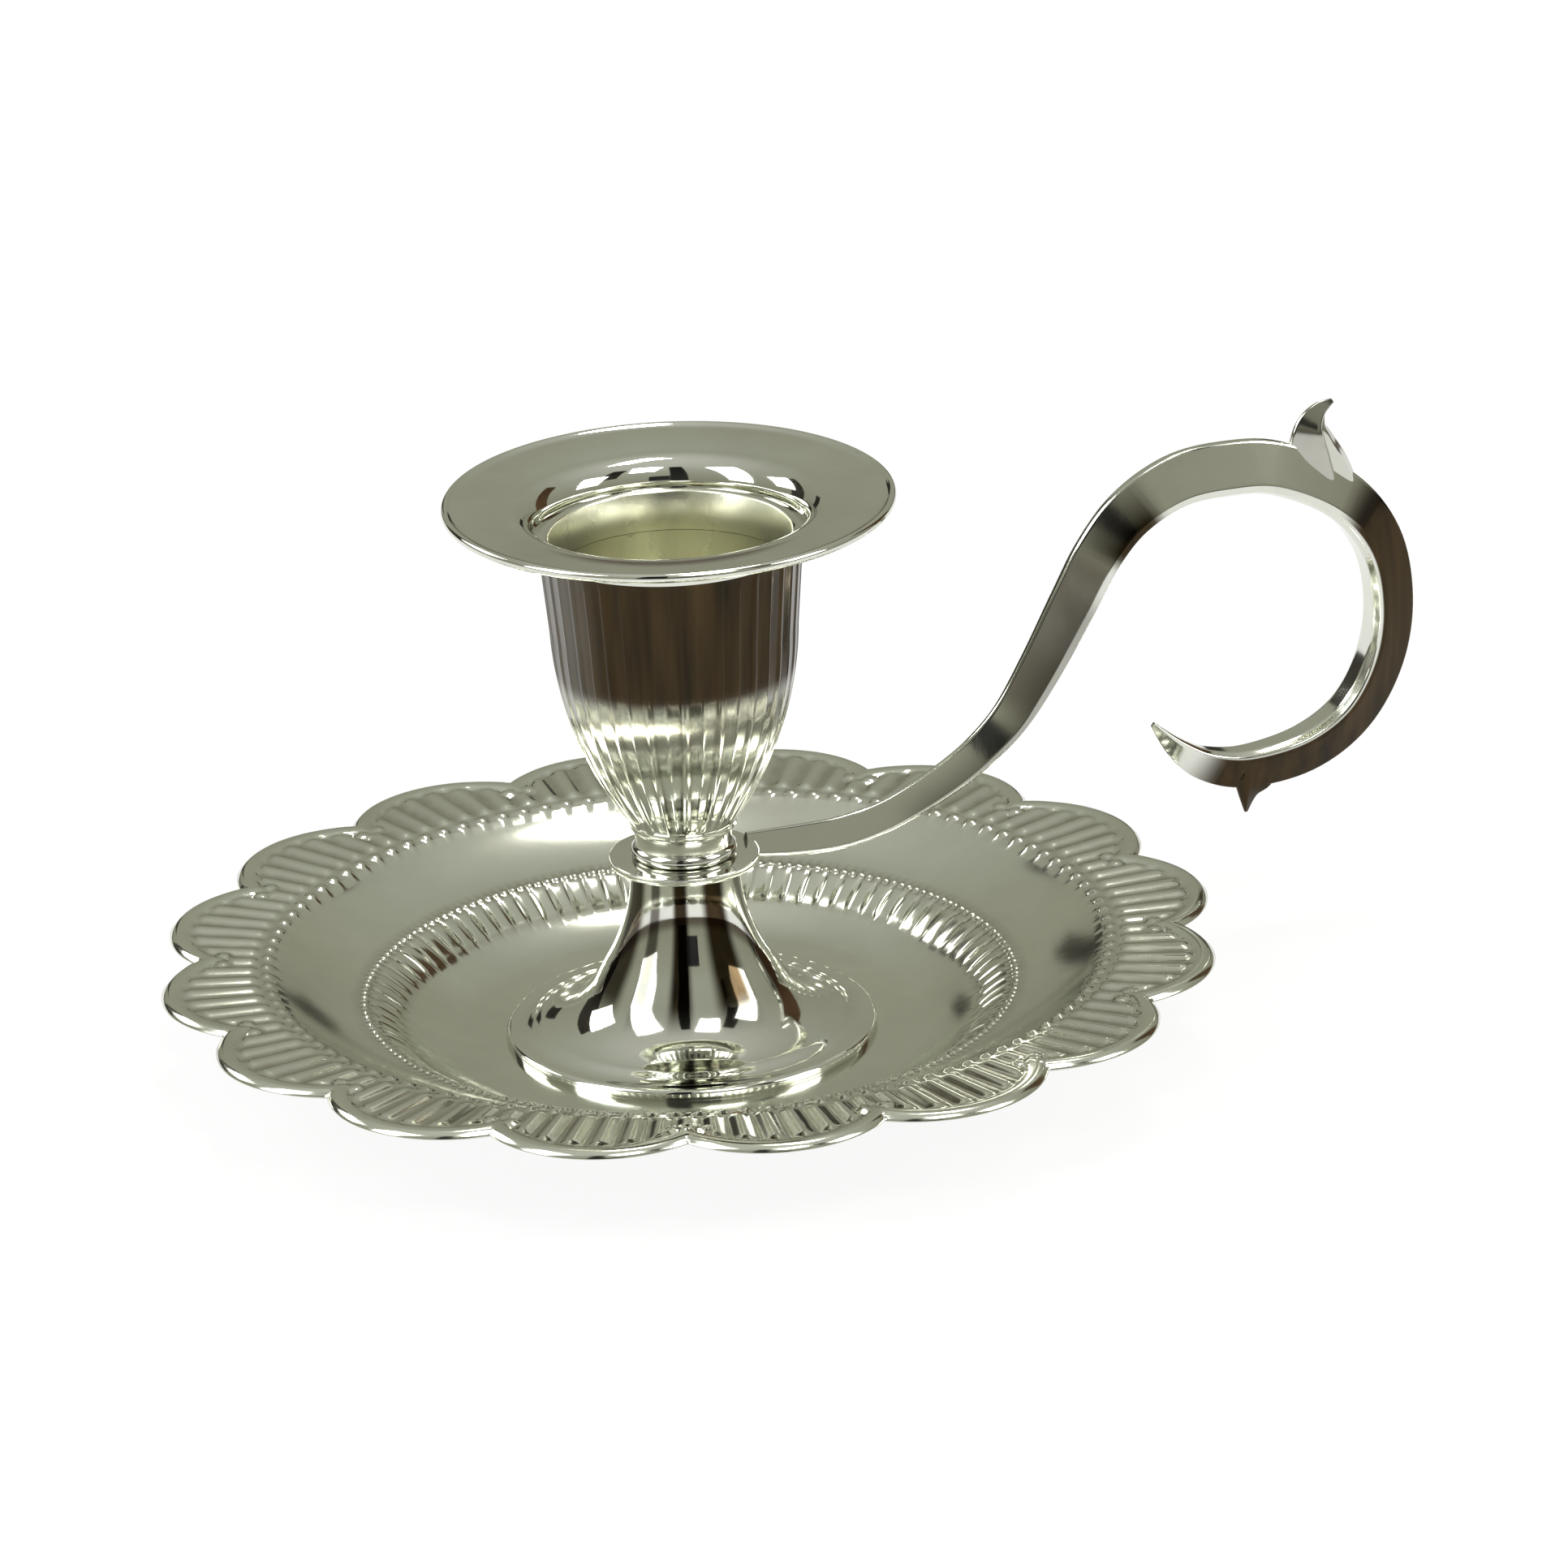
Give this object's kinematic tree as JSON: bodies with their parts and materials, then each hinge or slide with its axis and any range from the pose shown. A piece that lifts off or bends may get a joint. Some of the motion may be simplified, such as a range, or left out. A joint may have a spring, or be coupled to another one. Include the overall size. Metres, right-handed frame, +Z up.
{
  "type": "chamberstick candle holder",
  "caption": "Low candle holder: scalloped tray, trumpet foot, fluted candle cup with lift-off drip pan, and a curled handle with a finger loop and thumb spur.",
  "frame": {"origin": "on the candle cup's axis, in the plane that the tray stands on", "axes": "+Z up along the cup's axis, +X along the handle, over a notch between two lobes of the tray, +Y completing a right-handed frame"},
  "size_m": [0.1247, 0.098, 0.0536],
  "materials": {
    "silver_plate": "mirror-polished silver plate on cast zinc and pressed steel",
    "zinc_steel": "zinc-plated steel"
  },
  "bodies": {
    "base": {"tray": "silver_plate", "pedestal": "silver_plate", "handle": "silver_plate", "candle_cup": "silver_plate", "centre_screw": "zinc_steel", "base_washer": "zinc_steel", "cup_nut": "zinc_steel"},
    "nozzle": {"drip_pan": "silver_plate"}
  },
  "joints": [
    {"name": "nozzle_lift", "type": "slide", "parent": "base", "child": "nozzle", "axis": [0, 0, 1], "range_m": [0, 0.012]}
  ]
}
